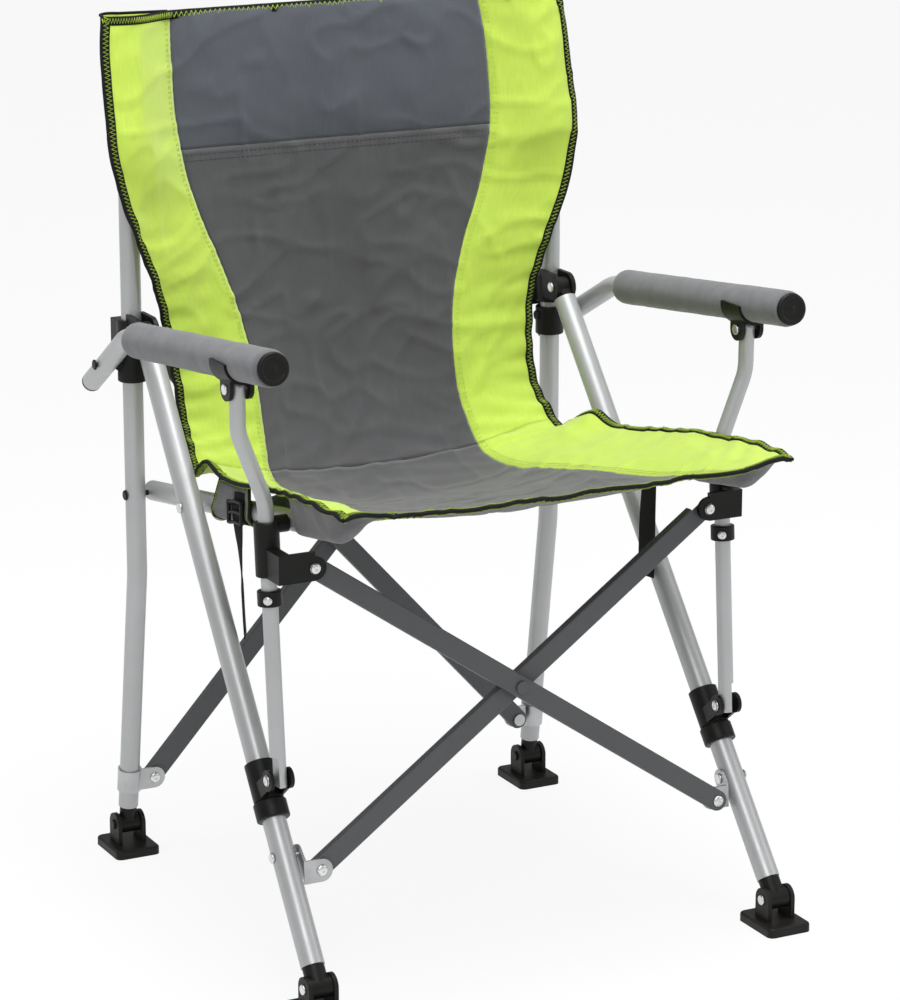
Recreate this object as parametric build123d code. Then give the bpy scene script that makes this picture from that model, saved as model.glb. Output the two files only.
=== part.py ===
from build123d import *
import math
import os

# Folding camp chair: two mirrored side frames, two scissor pairs of flat bars and a fabric sling.
# Millimetres, +Z up, the sitter faces -Y, the plane x = 0 is the plane of symmetry.
# The right side (x > 0) is drawn, and the left side is its mirror image.

os.makedirs("parts", exist_ok=True)

# Where the drawing sits: moves everything so that the origin is below the middle of the chair
shift_y = -6.5

# Tubes and fits
upright_r = 11.0
leg_r = 12.5
post_r = 8.25
rail_r = 11.0
arm_r = 11.0
wall = 1.5
slide_gap = 0.35
fit_gap = 0.05
run_gap = 0.05
pin_r = 3.0
peg_r = 4.0
peg_head_r = 7.0
peg_proud = 0.6
head_r = 5.6
head_t = 2.0
bar_w = 22.0
bar_t = 11.0
bar_wall = 1.3
layer_gap = 0.4
collar_t = 5.0
hole_reach = 40.0

# Rear upright
upright_x = 256.0
upright_y = 230.0
rear_foot = Vector(upright_x, 275.0, 31.5)
upright_low = Vector(upright_x, upright_y, 335.0)
upright_high = Vector(upright_x, upright_y, 805.0)
upright_top = Vector(upright_x, 260.0, 936.0)
upright_bend = 90.0

# Rear hub: the slider on the upright that carries the leg, with the arm collar below it
hub_z = 590.0
hub_len = 30.0
hub_wall = 5.0
hub_ear_z = hub_z + 2.0
hub_ear_top = hub_z + 26.0
cheek_out = 9.2
cheek_half = 2.5
cheek_r = 15.0
collar_below = 38.0
upright_collar_len = 32.0

# Front leg
front_foot = Vector(269.0, -256.0, 31.5)
leg_top = Vector(253.5, 200.0, hub_z + 22.0)
leg_dir = (leg_top - front_foot).normalized()
leg_len = (leg_top - front_foot).length
leg_short = 16.0
tongue_t = 12.0
tongue_len = 34.0

# Pivots in the side plane
rail_x = 230.5
rail_pivot = Vector(rail_x, upright_y, 425.0)
hub_pivot_y = -134.0
hub_pivot_z = 481.6
rail_front_y = -230.0
rail_back = 12.0
rail_plug = 4.0
arm_boss = 3.0
arm_splay = 8.0
arm_tail_in = 5.0
arm_pivot_x = upright_x + upright_r + collar_t + arm_boss + arm_r
arm_x = arm_pivot_x + arm_splay
arm_pivot = Vector(arm_pivot_x, upright_y, hub_z - 16.0)
post_top = Vector(arm_x, -134.0, arm_pivot.Z + 52.0)
post_foot = Vector(264.4, -156.0, 220.0)

# Rear scissor
rear_bar_x = 229.0
rear_bar_y = 260.0
rear_low_z = 86.0
rear_high_z = hub_z - 3.0

# Front scissor
front_bar_x = 232.0
front_low = Vector(front_bar_x, -185.3, 126.6)
front_high = Vector(front_bar_x, -161.0, 444.0)
bracket_pin_along = 140.0
bracket_in = 249.2
web_t = 2.8
bevel_from = 6.9
rebate_t = 3.6

# Stops and sliders
leg_collar_from = 180.0
leg_collar_len = 19.0
fork_from = 200.0
fork_len = 42.0
fork_wall = 3.05
ear_t = 4.0

# Arm sleeve
pad_r = 19.0
pad_front = Vector(arm_x, -218.0, arm_pivot.Z + 89.0)
pad_back = Vector(arm_x, 124.0, arm_pivot.Z + 48.0)
arm_tail = Vector(arm_pivot_x - arm_tail_in, 284.0, arm_pivot.Z - 31.0)
saddle_len = 36.0
saddle_wall = 3.2
saddle_ear_t = 4.4
saddle_ear_r = 12.0
post_gap = 0.6
flat_cut = 5.7
flat_len = 32.0

# Feet
foot_long = 66.0
foot_wide = 52.0
foot_thick = 10.0
foot_corner = 7.0
ear_out = 14.2
ear_half = 2.3
ear_r = 13.0
ankle_len = 22.0
spigot_len = 12.0

# Sling
cloth_t = 3.0
pad_t = 9.0
seam_gap = 0.6
cloth_bow = 15.0
bow_above = 780.0
cloth_crown = 3.0

x_axis = Vector(1, 0, 0)
y_axis = Vector(0, 1, 0)
z_axis = Vector(0, 0, 1)


def rod(start, direction, length, radius):
    """Solid cylinder from a point along a direction."""
    return extrude(Plane(origin=start, z_dir=direction) * Circle(radius), amount=length)


def ring(start, direction, length, inner, outer):
    """Plain sleeve from a point along a direction."""
    return rod(start, direction, length, outer) - rod(start, direction, length, inner)


def pin(x0, x1, y, z, radius=pin_r):
    """Cylinder along X."""
    return rod(Vector(x0, y, z), x_axis, x1 - x0, radius)


def cross_hole(x, y, z, gap):
    """Cutter for a rivet hole along X, centred on a tube."""
    return pin(x - hole_reach, x + hole_reach, y, z, pin_r + gap)


def rivet(x0, x1, y, z):
    """Pin along X with a low domed head at each end."""
    head_a = Pos(x0 - head_t / 2, y, z) * Rot(0, 90, 0) * Cylinder(head_r, head_t)
    head_b = Pos(x1 + head_t / 2, y, z) * Rot(0, 90, 0) * Cylinder(head_r, head_t)
    head_a = fillet(head_a.edges().sort_by(Axis.X)[0], head_t * 0.7)
    head_b = fillet(head_b.edges().sort_by(Axis.X)[-1], head_t * 0.7)
    return pin(x0, x1, y, z) + head_a + head_b


def box(x0, x1, y0, y1, z0, z1):
    """Box from its limits."""
    centre = Pos((x0 + x1) / 2, (y0 + y1) / 2, (z0 + z1) / 2)
    return centre * Box(x1 - x0, y1 - y0, z1 - z0)


def tube(points, radius, bend):
    """Bent round tube."""
    path = FilletPolyline(*points, radius=bend)
    plane = Plane(origin=path @ 0, z_dir=path % 0)
    return sweep(plane * (Circle(radius) - Circle(radius - wall)), path=path)


def save(name, shape):
    """Write one node, moved to the shared frame."""
    shape = Pos(0, shift_y, 0) * shape
    shape.label = name
    export_step(shape, "parts/" + name + ".step")


def both(name, shape):
    """Write a right-hand node and its mirror image."""
    save("right_" + name, shape)
    save("left_" + name, mirror(shape, about=Plane.YZ))


# Rear uprights
upright_dir = (upright_low - rear_foot).normalized()
upright_start = rear_foot + upright_dir * ankle_len
upright = tube([upright_start, upright_low, upright_high, upright_top], upright_r, upright_bend)
upright -= cross_hole(upright_x, upright_y, rail_pivot.Z, fit_gap)
upright -= cross_hole(upright_x, upright_y, arm_pivot.Z, fit_gap)
both("upright", upright)


def ankle(foot, direction, radius, width):
    """Plug of a leg: a round knuckle in the foot and a neck that meets the tube."""
    knuckle = pin(foot.X - width / 2, foot.X + width / 2, foot.Y, foot.Z, radius)
    neck = rod(foot, direction, ankle_len - 0.2, radius)
    spigot = rod(foot, direction, ankle_len + spigot_len, radius - wall - fit_gap)
    return knuckle + neck + spigot - cross_hole(foot.X, foot.Y, foot.Z, fit_gap)


top_dir = (upright_top - upright_high).normalized()
top_cap = rod(upright_top + top_dir * 0.1, top_dir, 4.0, upright_r)
top_cap = fillet(top_cap.edges().filter_by(GeomType.CIRCLE).sort_by(Axis.Z)[-1], 3.0)
top_cap += rod(upright_top - top_dir * 12.0, top_dir, 12.1, upright_r - wall - fit_gap)
upright_plug = ankle(rear_foot, upright_dir, upright_r, 2 * upright_r)
both("upright_plugs", Compound([upright_plug.solid(), top_cap.solid()]))

# Collar on the upright with the arm boss
arm_inner = arm_pivot.X - arm_r - 0.5
collar_z = hub_z - collar_below
upright_axis = Vector(upright_x, upright_y, 0)
upright_collar = rod(upright_axis + z_axis * collar_z, z_axis, upright_collar_len, upright_r + collar_t)
upright_collar = fillet(upright_collar.edges(), 1.5)
upright_collar += pin(upright_x, arm_inner, upright_y, arm_pivot.Z, 8.5)
collar_bore = upright_r + fit_gap
upright_collar -= rod(upright_axis + z_axis * (collar_z - 10), z_axis, upright_collar_len + 20, collar_bore)
upright_collar -= cross_hole(upright_x, upright_y, arm_pivot.Z, fit_gap)
both("upright_collar", upright_collar)

# Lower brackets of the rear scissor, one plate in front of its bar and one behind
rear_low_t = (rear_low_z - rear_foot.Z) / upright_dir.Z
rear_low_point = rear_foot + upright_dir * rear_low_t


def layer(front):
    """Depth range of a bar, measured from the middle of the pair."""
    if front:
        return -layer_gap - bar_t, -layer_gap
    return layer_gap, layer_gap + bar_t


def rear_bracket(bar_in_front):
    """Steel band round the upright with a plate and a peg for the bar."""
    near, far = layer(bar_in_front)
    band = rod(rear_low_point - upright_dir * 13.0, upright_dir, 26.0, upright_r + 2.2)
    if bar_in_front:
        plate_y = (rear_bar_y + 0.1, rear_bar_y + 3.1)
        peg = rod(Vector(rear_bar_x, plate_y[0], rear_low_z), -y_axis, bar_t + 1.0, peg_r)
        peg += rod(Vector(rear_bar_x, rear_bar_y + near - 0.5, rear_low_z), -y_axis, head_t, peg_head_r)
    else:
        plate_y = (rear_bar_y - 3.1, rear_bar_y - 0.1)
        peg = rod(Vector(rear_bar_x, plate_y[1], rear_low_z), y_axis, bar_t + 1.0, peg_r)
        peg += rod(Vector(rear_bar_x, rear_bar_y + far + 0.5, rear_low_z), y_axis, head_t, peg_head_r)
    plate = box(rear_bar_x, upright_x - 3, plate_y[0], plate_y[1], rear_low_z - 12, rear_low_z + 12)
    plate += rod(Vector(rear_bar_x, plate_y[0], rear_low_z), y_axis, 3.0, 12.0)
    bore = rod(rear_low_point - upright_dir * 40.0, upright_dir, 80.0, upright_r + fit_gap)
    return band + plate - bore + peg


save("right_rear_bracket", rear_bracket(True))
save("left_rear_bracket", mirror(rear_bracket(False), about=Plane.YZ))

# Rivets fixed in the upright: rail pivot, arm pivot and foot
rail_rivet = rivet(rail_x - rail_r - 0.4, upright_x + upright_r + 0.4, upright_y, rail_pivot.Z)
arm_rivet = rivet(upright_x - upright_r - collar_t - 0.4, arm_pivot.X + arm_r + 2.0, upright_y, arm_pivot.Z)
foot_rivet_half = ear_out + ear_half + 0.4
rear_foot_rivet = rivet(upright_x - foot_rivet_half, upright_x + foot_rivet_half, rear_foot.Y, rear_foot.Z)
upright_rivet_parts = [rail_rivet, arm_rivet, rear_foot_rivet]
both("upright_rivets", Compound([s for r in upright_rivet_parts for s in r.solids()]))


# Feet
def foot(pivot):
    """Pad with two ears round the knuckle."""
    base = box(-foot_wide / 2, foot_wide / 2, -foot_long / 2, foot_long / 2, 0, foot_thick)
    base = fillet(base.edges().filter_by(Axis.Z), foot_corner)
    base = fillet(base.edges().group_by(Axis.Z)[-1], 3.0)
    shape = Pos(pivot.X, pivot.Y, 0) * base
    for side in (-1, 1):
        x0 = pivot.X + side * ear_out
        ear = box(x0 - ear_half, x0 + ear_half, pivot.Y - ear_r, pivot.Y + ear_r, foot_thick - 4, pivot.Z)
        ear += pin(x0 - ear_half, x0 + ear_half, pivot.Y, pivot.Z, ear_r)
        shape += ear
    return shape - cross_hole(pivot.X, pivot.Y, pivot.Z, run_gap)


both("rear_foot", foot(rear_foot))


# Rear hubs
def rear_hub(bar_in_front):
    """Slider on the upright: cheeks for the leg in front, an ear with a peg for the bar behind."""
    shape = rod(upright_axis + z_axis * hub_z, z_axis, hub_len, upright_r + hub_wall)
    shape = fillet(shape.edges(), 1.5)
    for side in (-1, 1):
        x0 = leg_top.X + side * cheek_out
        x1 = x0 + cheek_half
        x0 = x0 - cheek_half
        shape += box(x0, x1, leg_top.Y, upright_y, leg_top.Z - cheek_r, leg_top.Z + cheek_r)
        shape += pin(x0, x1, leg_top.Y, leg_top.Z, cheek_r)
    near, far = layer(bar_in_front)
    if bar_in_front:
        plate = (rear_bar_y + 0.2, rear_bar_y + 5.2)
        peg = rod(Vector(rear_bar_x, plate[0], rear_high_z), -y_axis, bar_t + 1.2, peg_r)
        peg += rod(Vector(rear_bar_x, rear_bar_y + near - 0.6, rear_high_z), -y_axis, head_t, peg_head_r)
    else:
        plate = (rear_bar_y - 5.2, rear_bar_y - 0.2)
        peg = rod(Vector(rear_bar_x, plate[1], rear_high_z), y_axis, bar_t + 1.2, peg_r)
        peg += rod(Vector(rear_bar_x, rear_bar_y + far + 0.6, rear_high_z), y_axis, head_t, peg_head_r)
    ear_x = upright_x + 10
    shape += box(upright_x - 13, ear_x, upright_y + 6, plate[1], hub_ear_z, hub_ear_top)
    shape += box(rear_bar_x, ear_x, plate[0], plate[1], rear_high_z - 6, hub_ear_top)
    shape += rod(Vector(rear_bar_x, plate[0], rear_high_z), y_axis, 5.0, 12.0)
    shape -= rod(upright_axis + z_axis * (hub_z - 30), z_axis, hub_len + 60, upright_r + slide_gap)
    shape -= cross_hole(leg_top.X, leg_top.Y, leg_top.Z, run_gap)
    return shape + peg


save("right_rear_hub", rear_hub(False))
save("left_rear_hub", mirror(rear_hub(True), about=Plane.YZ))

# Front legs
leg_start = front_foot + leg_dir * ankle_len
leg = ring(leg_start, leg_dir, leg_len - ankle_len - leg_short, leg_r - wall, leg_r)
bracket_pin = front_foot + leg_dir * bracket_pin_along
rail_slope = (hub_pivot_z - rail_pivot.Z) / (hub_pivot_y - rail_pivot.Y)
cross_along = 0.0
for step in range(40):
    probe = front_foot + leg_dir * cross_along
    cross_along += (rail_pivot.Z + rail_slope * (probe.Y - rail_pivot.Y) - probe.Z) * 0.8
cross_point = front_foot + leg_dir * cross_along
leg -= cross_hole(bracket_pin.X, bracket_pin.Y, bracket_pin.Z, fit_gap)
leg -= cross_hole(cross_point.X, cross_point.Y, cross_point.Z, fit_gap)
both("leg", leg)

tongue_plane = Plane(origin=leg_top, x_dir=x_axis, z_dir=leg_dir)
tongue = tongue_plane * (Pos(0, 0, -tongue_len / 2) * Box(tongue_t, 15.0, tongue_len))
tongue += pin(leg_top.X - tongue_t / 2, leg_top.X + tongue_t / 2, leg_top.Y, leg_top.Z, 10.5)
tongue -= cross_hole(leg_top.X, leg_top.Y, leg_top.Z, fit_gap)
leg_plug = ankle(front_foot, leg_dir, leg_r - 1.0, 23.0)
both("leg_plugs", Compound([tongue.solid(), leg_plug.solid()]))

leg_collar = rod(front_foot + leg_dir * leg_collar_from, leg_dir, leg_collar_len, leg_r + collar_t)
leg_collar = fillet(leg_collar.edges(), 1.5)
leg_collar -= rod(front_foot, leg_dir, leg_len, leg_r + fit_gap)
both("leg_collar", leg_collar)

top_rivet_half = cheek_out + cheek_half + 0.4
leg_top_rivet = rivet(leg_top.X - top_rivet_half, leg_top.X + top_rivet_half, leg_top.Y, leg_top.Z)
ankle_x = front_foot.X
front_foot_rivet = rivet(ankle_x - foot_rivet_half, ankle_x + foot_rivet_half, front_foot.Y, front_foot.Z)
bracket_rivet = rivet(bracket_in - 0.4, bracket_pin.X + leg_r + 0.4, bracket_pin.Y, bracket_pin.Z)
cross_head = rivet(cross_point.X - 11.0, cross_point.X + leg_r + 0.4, cross_point.Y, cross_point.Z)
head_side = cross_point.X - 11.0
head_y = (cross_point.Y - 20, cross_point.Y + 20)
cross_head -= box(head_side - 40, head_side, *head_y, cross_point.Z - 40, cross_point.Z + 40)
leg_rivet_parts = [leg_top_rivet, front_foot_rivet, bracket_rivet, cross_head]
both("leg_rivets", Compound([s for r in leg_rivet_parts for s in r.solids()]))
both("front_foot", foot(front_foot))

# Fork sliders on the legs
fork = rod(front_foot + leg_dir * fork_from, leg_dir, fork_len, leg_r + slide_gap + fork_wall)
fork = fillet(fork.edges(), 1.0)
fork_along = (post_foot - front_foot).dot(leg_dir)
fork_axis_point = front_foot + leg_dir * fork_along
for side in (-1, 1):
    x0 = post_foot.X + side * (post_r + 0.7 + ear_t / 2)
    out_dir = (post_foot - fork_axis_point).normalized()
    side_plane = Plane(origin=(x0, fork_axis_point.Y, fork_axis_point.Z), x_dir=x_axis, z_dir=out_dir)
    reach = (post_foot - fork_axis_point).length
    ear = side_plane * (Pos(0, 0, reach / 2) * Box(ear_t, 17.0, reach))
    ear += pin(x0 - ear_t / 2, x0 + ear_t / 2, post_foot.Y, post_foot.Z, 11.0)
    stud_x = x0 + side * (ear_t / 2 + head_t / 2)
    ear += Pos(stud_x, post_foot.Y, post_foot.Z) * Rot(0, 90, 0) * Cylinder(head_r, head_t)
    fork += ear
fork -= rod(front_foot, leg_dir, leg_len, leg_r + slide_gap)
both("fork", fork)

# Front scissor frame: in-plane up direction and the normal towards the front
front_up = (front_high - front_low).normalized()
front_n = front_up.cross(x_axis) * -1
if front_n.Y > 0:
    front_n = front_n * -1


def front_bracket(bar_in_front):
    """Steel angle that swivels on the leg and carries the lower end of a front bar."""
    plane = Plane(origin=front_low, x_dir=x_axis, z_dir=front_n)
    if bar_in_front:
        lo, hi = -3.2, -0.2
    else:
        lo, hi = 0.2, 3.2
    web_x = bracket_in + web_t / 2
    plate = plane * (Pos(web_x - front_bar_x - 8.7, 0, (lo + hi) / 2) * Box(20.0, 24.0, 3.0))
    plate += plane * (Pos(0, 0, (lo + hi) / 2) * Cylinder(12.0, 3.0))
    start = Vector(web_x, front_low.Y, front_low.Z) + front_n * ((lo + hi) / 2)
    end = Vector(web_x, bracket_pin.Y, bracket_pin.Z)
    along = (end - start).normalized()
    web_plane = Plane(origin=start, x_dir=x_axis, z_dir=along)
    web_len = (end - start).length
    web = web_plane * (Pos(0, 0, web_len / 2 - 1) * Box(web_t, 20.0, web_len + 2))
    web += pin(bracket_in, bracket_in + web_t, bracket_pin.Y, bracket_pin.Z, 10.0)
    front_limit = plane * (Pos(0, 0, hi + 50) * Box(200, 200, 100))
    web -= front_limit
    shape = plate + web
    shape -= cross_hole(bracket_pin.X, bracket_pin.Y, bracket_pin.Z, run_gap)
    if not bar_in_front:
        shape += rod(front_low + front_n * hi, front_n * -1, bar_t + hi + layer_gap + peg_proud, peg_r)
        shape += rod(front_low - front_n * (bar_t + layer_gap + 0.6), front_n * -1, head_t, peg_head_r)
    return shape


save("right_front_bracket", front_bracket(True))
save("left_front_bracket", mirror(front_bracket(False), about=Plane.YZ))

# Seat rails
rail_dir = Vector(0, hub_pivot_y - rail_pivot.Y, hub_pivot_z - rail_pivot.Z).normalized()
rail_start = rail_pivot - rail_dir * rail_back
rail_len = (rail_pivot.Y - rail_front_y) / -rail_dir.Y + rail_back
rail = rod(rail_start, rail_dir, rail_len, rail_r)
rail -= rod(rail_start + rail_dir * rail_plug, rail_dir, rail_len - 2 * rail_plug, rail_r - wall)
rail -= cross_hole(rail_x, rail_pivot.Y, rail_pivot.Z, run_gap)
both("rail", rail)

# Arms
pad_dir = (pad_back - pad_front).normalized()
pad_len = (pad_back - pad_front).length
arm_bend = pad_front + pad_dir * (pad_len + 26.0)
arm = tube([pad_front + pad_dir * 4.0, arm_bend, arm_tail], arm_r, 60.0)
arm -= cross_hole(arm_pivot.X, upright_y, arm_pivot.Z, run_gap)
both("arm", arm)

pad = rod(pad_front, pad_dir, pad_len, pad_r)
pad = fillet(pad.edges(), 4.0)
pad -= rod(pad_front - pad_dir * 10, pad_dir, pad_len + 20, arm_r + fit_gap)
slot_r = post_r + post_gap
pad -= pin(arm_x - slot_r, arm_x + slot_r, post_top.Y, post_top.Z, slot_r)
both("arm_pad", pad)

tail_dir = (arm_tail - arm_bend).normalized()
tail_cap = rod(arm_tail + tail_dir * 0.1, tail_dir, 4.0, arm_r)
tail_cap += rod(arm_tail - tail_dir * 10, tail_dir, 10.1, arm_r - wall - fit_gap)
front_cap = rod(pad_front - pad_dir * 0.1, pad_dir * -1, 4.0, arm_r + 3)
front_cap = fillet(front_cap.edges().filter_by(GeomType.CIRCLE).sort_by(Axis.Y)[0], 2.5)
front_cap += rod(pad_front - pad_dir * 0.2, pad_dir, 4.0, arm_r - wall - fit_gap)
both("arm_caps", Compound([tail_cap.solid(), front_cap.solid()]))

pad_mid = pad_front + pad_dir * ((post_top.Y - pad_front.Y) / pad_dir.Y)
saddle = rod(pad_mid - pad_dir * saddle_len / 2, pad_dir, saddle_len, pad_r + saddle_wall)
saddle_y = (pad_mid.Y - 60, pad_mid.Y + 60)
saddle -= box(arm_x - 40, arm_x + 40, *saddle_y, pad_mid.Z + 2, pad_mid.Z + 60)
for side in (-1, 1):
    x0 = arm_x + side * (post_r + post_gap + saddle_ear_t / 2) - saddle_ear_t / 2
    x1 = x0 + saddle_ear_t
    ear_y = (post_top.Y - saddle_ear_r, post_top.Y + saddle_ear_r)
    saddle += box(x0, x1, *ear_y, post_top.Z, pad_mid.Z)
    saddle += pin(x0, x1, post_top.Y, post_top.Z, saddle_ear_r)
saddle -= rod(pad_front, pad_dir, pad_len, pad_r + fit_gap)
saddle -= pin(arm_x - slot_r, arm_x + slot_r, post_top.Y, post_top.Z, slot_r)
for turn in range(0, 81, 10):
    swept = Vector(0, math.sin(math.radians(turn)), -math.cos(math.radians(turn)))
    saddle -= rod(post_top, swept, 60.0, slot_r)
saddle -= cross_hole(post_top.X, post_top.Y, post_top.Z, run_gap)
both("arm_bracket", saddle)

# Arm posts
post_dir = Vector(0.7, 22.5, 278.0).normalized()
post_mid = post_foot + post_dir * 287.0
post_bend = post_top + Vector(0, 0.8, -46.0)
post_start = post_foot - post_dir * 8.0
post = tube([post_start, post_mid, post_bend, post_top + z_axis * 6.0], post_r, 55.0)
post_y = (post_top.Y - 20, post_top.Y + 20)
round_end = box(arm_x - 20, arm_x + 20, *post_y, post_top.Z, post_top.Z + 20)
round_end -= pin(arm_x - 30, arm_x + 30, post_top.Y, post_top.Z, post_r)
post -= round_end
post -= cross_hole(post_top.X, post_top.Y, post_top.Z, fit_gap)
# The foot is plugged and flat on its outer side, because the fork comes inwards as it climbs the leg
post += rod(post_start, post_dir, flat_len, post_r - wall)
flat_x = post_foot.X + post_r - flat_cut
flat_z = post_start.Z - 10
post -= box(flat_x, flat_x + 20, post_foot.Y - 30, post_foot.Y + 30, flat_z, post_start.Z + flat_len)
both("post", post)


def post_point(z):
    """Point of the straight part of the post at a height."""
    return post_foot + post_dir * ((z - post_foot.Z) / post_dir.Z)


def front_hub(bar_in_front):
    """Fitting on the post: boss for the rail, front plate for the bar."""
    sleeve = rod(post_point(430.0), post_dir, 56.0, post_r + 4.8)
    sleeve = fillet(sleeve.edges(), 1.5)
    boss = pin(rail_x + rail_r + 0.8, post_foot.X, hub_pivot_y, hub_pivot_z, 9.0)
    if bar_in_front:
        lo = bar_t + layer_gap + 1.8
    else:
        lo = 1.6
    hi = lo + 5.0
    face_y = front_high.Y
    plate = box(front_bar_x, 272, face_y - hi, face_y - lo, front_high.Z - 13, front_high.Z + 17)
    plate += rod(Vector(front_bar_x, face_y - hi, front_high.Z), y_axis, 5.0, 12.5)
    web = box(258.5, 272, face_y - hi, post_point(444).Y, front_high.Z - 13, front_high.Z + 17)
    stud = rod(Vector(front_bar_x, face_y - hi, front_high.Z), -y_axis, head_t, head_r)
    shape = sleeve + boss + plate + web + stud
    shape -= rod(post_point(380.0), post_dir, 130.0, post_r + fit_gap)
    return shape


save("right_front_hub", front_hub(False))
save("left_front_hub", mirror(front_hub(True), about=Plane.YZ))

post_collar = rod(post_point(400.0), post_dir, 16.0, post_r + 4.5)
post_collar = fillet(post_collar.edges(), 1.2)
post_collar -= rod(post_point(390.0), post_dir, 40.0, post_r + fit_gap)
both("post_collar", post_collar)
post_rivet_half = post_r + post_gap + saddle_ear_t + 0.15
both("post_rivets", rivet(arm_x - post_rivet_half, arm_x + post_rivet_half, post_top.Y, post_top.Z))


# Scissor bars
def bar_plane(start, end, normal):
    """Plane through the middle of a bar, with X along it."""
    return Plane(origin=(start + end) * 0.5, x_dir=(end - start).normalized(), z_dir=normal)


def bar(start, end, normal, depth, holes):
    """Flat hollow bar between two pivots, at a depth along the normal."""
    length = (end - start).length
    plane = bar_plane(start, end, normal)
    outer = plane * (Pos(0, 0, depth) * Box(length, bar_w, bar_t))
    for point in (-length / 2, length / 2):
        outer += plane * (Pos(point, 0, depth) * Cylinder(bar_w / 2, bar_t))
    outer = fillet(outer.edges().filter_by(GeomType.LINE).filter_by(lambda e: e.length > 100), 1.8)
    core = plane * (Pos(0, 0, depth) * Box(length - 40, bar_w - 2 * bar_wall, bar_t - 2 * bar_wall))
    centre = plane * (Pos(0, 0, depth) * Box(20, bar_w, bar_t))
    shape = outer - (core - centre)
    for point in holes:
        shape -= plane * (Pos(point * length / 2, 0, depth) * Cylinder(peg_r + run_gap, bar_t * 3))
    return shape


half_layer = layer_gap + bar_t / 2
rear_ll = Vector(-rear_bar_x, rear_bar_y, rear_low_z)
rear_lr = Vector(rear_bar_x, rear_bar_y, rear_low_z)
rear_ul = Vector(-rear_bar_x, rear_bar_y, rear_high_z)
rear_ur = Vector(rear_bar_x, rear_bar_y, rear_high_z)
rear_a = bar(rear_ll, rear_ur, y_axis, half_layer, (-1, 1))
rear_b = bar(rear_lr, rear_ul, y_axis, -half_layer, (-1, 0, 1))
peg_reach = bar_t + layer_gap + peg_proud
rear_peg_at = (rear_ll + rear_ur) * 0.5 - y_axis * peg_reach
rear_peg = rod(rear_peg_at, y_axis, 2 * bar_t, peg_r)
rear_peg += rod(rear_peg_at, -y_axis, head_t, peg_head_r)
save("rear_bar_a", rear_a + rear_peg)
save("rear_bar_b", rear_b)

front_ll = Vector(-front_low.X, front_low.Y, front_low.Z)
front_ul = Vector(-front_high.X, front_high.Y, front_high.Z)
front_a = bar(front_ll, front_high, front_n, -half_layer, (-1, 1))
front_b = bar(front_low, front_ul, front_n, half_layer, (-1, 0, 1))
# The upper ends are bevelled behind, where the rails pass them while the chair folds
front_half = (front_high - front_ll).length / 2
bevel = Pos(front_half - 1, 0, 0) * Rot(-45, 0, 0) * Pos(0, bevel_from + 10, 0) * Box(28, 20, 60)
front_a -= bar_plane(front_ll, front_high, front_n) * bevel
rebate = Pos(front_half + 7, -6, rebate_t / 2) * Box(12, 14, rebate_t)
front_b -= bar_plane(front_low, front_ul, front_n) * rebate
front_peg_at = (front_ll + front_high) * 0.5 + front_n * peg_reach
front_peg = rod(front_peg_at, front_n * -1, 2 * bar_t, peg_r)
front_peg += rod(front_peg_at, front_n, head_t, peg_head_r)
save("front_bar_a", front_a + front_peg)
save("front_bar_b", front_b)

# Sling: stations from the top of the back to the front of the seat, in mm
# edge x, edge y, edge z, seam x, seam y, seam z, middle y, middle z
sling_back = [
    (274, 250, 943, 184, 276, 941, 284, 940),
    (279, 241, 905, 188, 266, 905, 276, 903),
    (281, 228, 850, 190, 256, 850, 266, 848),
    (281, 215, 795, 187, 246, 795, 258, 793),
    (266, 205, 730, 172, 241, 730, 253, 728),
    (243, 206, 670, 148, 233, 670, 247, 668),
    (226, 212, 610, 130, 224, 610, 239, 608),
    (219, 205, 550, 121, 207, 550, 225, 548),
    (219, 188, 505, 121, 191, 500, 204, 498),
    (222, 160, 482, 126, 166, 460, 176, 452),
]
sling_seat = [
    (222.7, 156.6, 480.8, 126.3, 162.9, 457.6, 173.4, 449.6),
    (226, 140, 477, 128, 142, 446, 148, 434),
    (236, 90, 484, 133, 90, 442, 92, 425),
    (240, 35, 489, 142, 35, 452, 35, 434),
    (248, -30, 497, 154, -35, 465, -35, 449),
    (254, -95, 510, 165, -100, 475, -100, 461),
    (256, -165, 520, 180, -170, 487, -170, 474),
    (258, -225, 526, 192, -230, 503, -232, 494),
    (255, -292, 524, 200, -293, 521, -294, 519),
]
head_from = 0
head_to = 3
cross_steps = 9


def across(row, share):
    """Point of the sling: 0 is the middle, 1 the seam, 2 the edge."""
    ex, ey, ez, sx, sy, sz, my, mz = row
    if share <= 1.0:
        bow = share * share
        return Vector(sx * share, my + (sy - my) * bow, mz + (sz - mz) * bow)
    side = share - 1.0
    point = Vector(sx + (ex - sx) * side, sy + (ey - sy) * side, sz + (ez - sz) * side)
    if ez > bow_above and row in sling_back:
        point = point - y_axis * math.sin(math.pi * side ** 1.3) * cloth_bow
    elif row in sling_seat:
        point = point + z_axis * math.sin(math.pi * side) * cloth_crown
    return point


def panel(rows, low, high, mirrored, thick):
    """Cloth panel between two shares of the width, thickened behind its face."""
    sign = -1 if mirrored else 1
    grid = []
    for row in rows:
        line = []
        for i in range(cross_steps):
            share = low + (high - low) * i / (cross_steps - 1)
            if share < 0:
                p = across(row, -share)
                line.append(Vector(-p.X, p.Y, p.Z))
            else:
                p = across(row, share)
                line.append(Vector(sign * p.X, p.Y, p.Z))
        grid.append(line)
    face = Face.make_surface_from_array_of_points(grid, smoothing=None, max_deg=3)
    normal = face.normal_at()
    if normal.Y - normal.Z < 0:
        thick = -thick
    solid = Solid.thicken(face, thick)
    return solid


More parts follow.
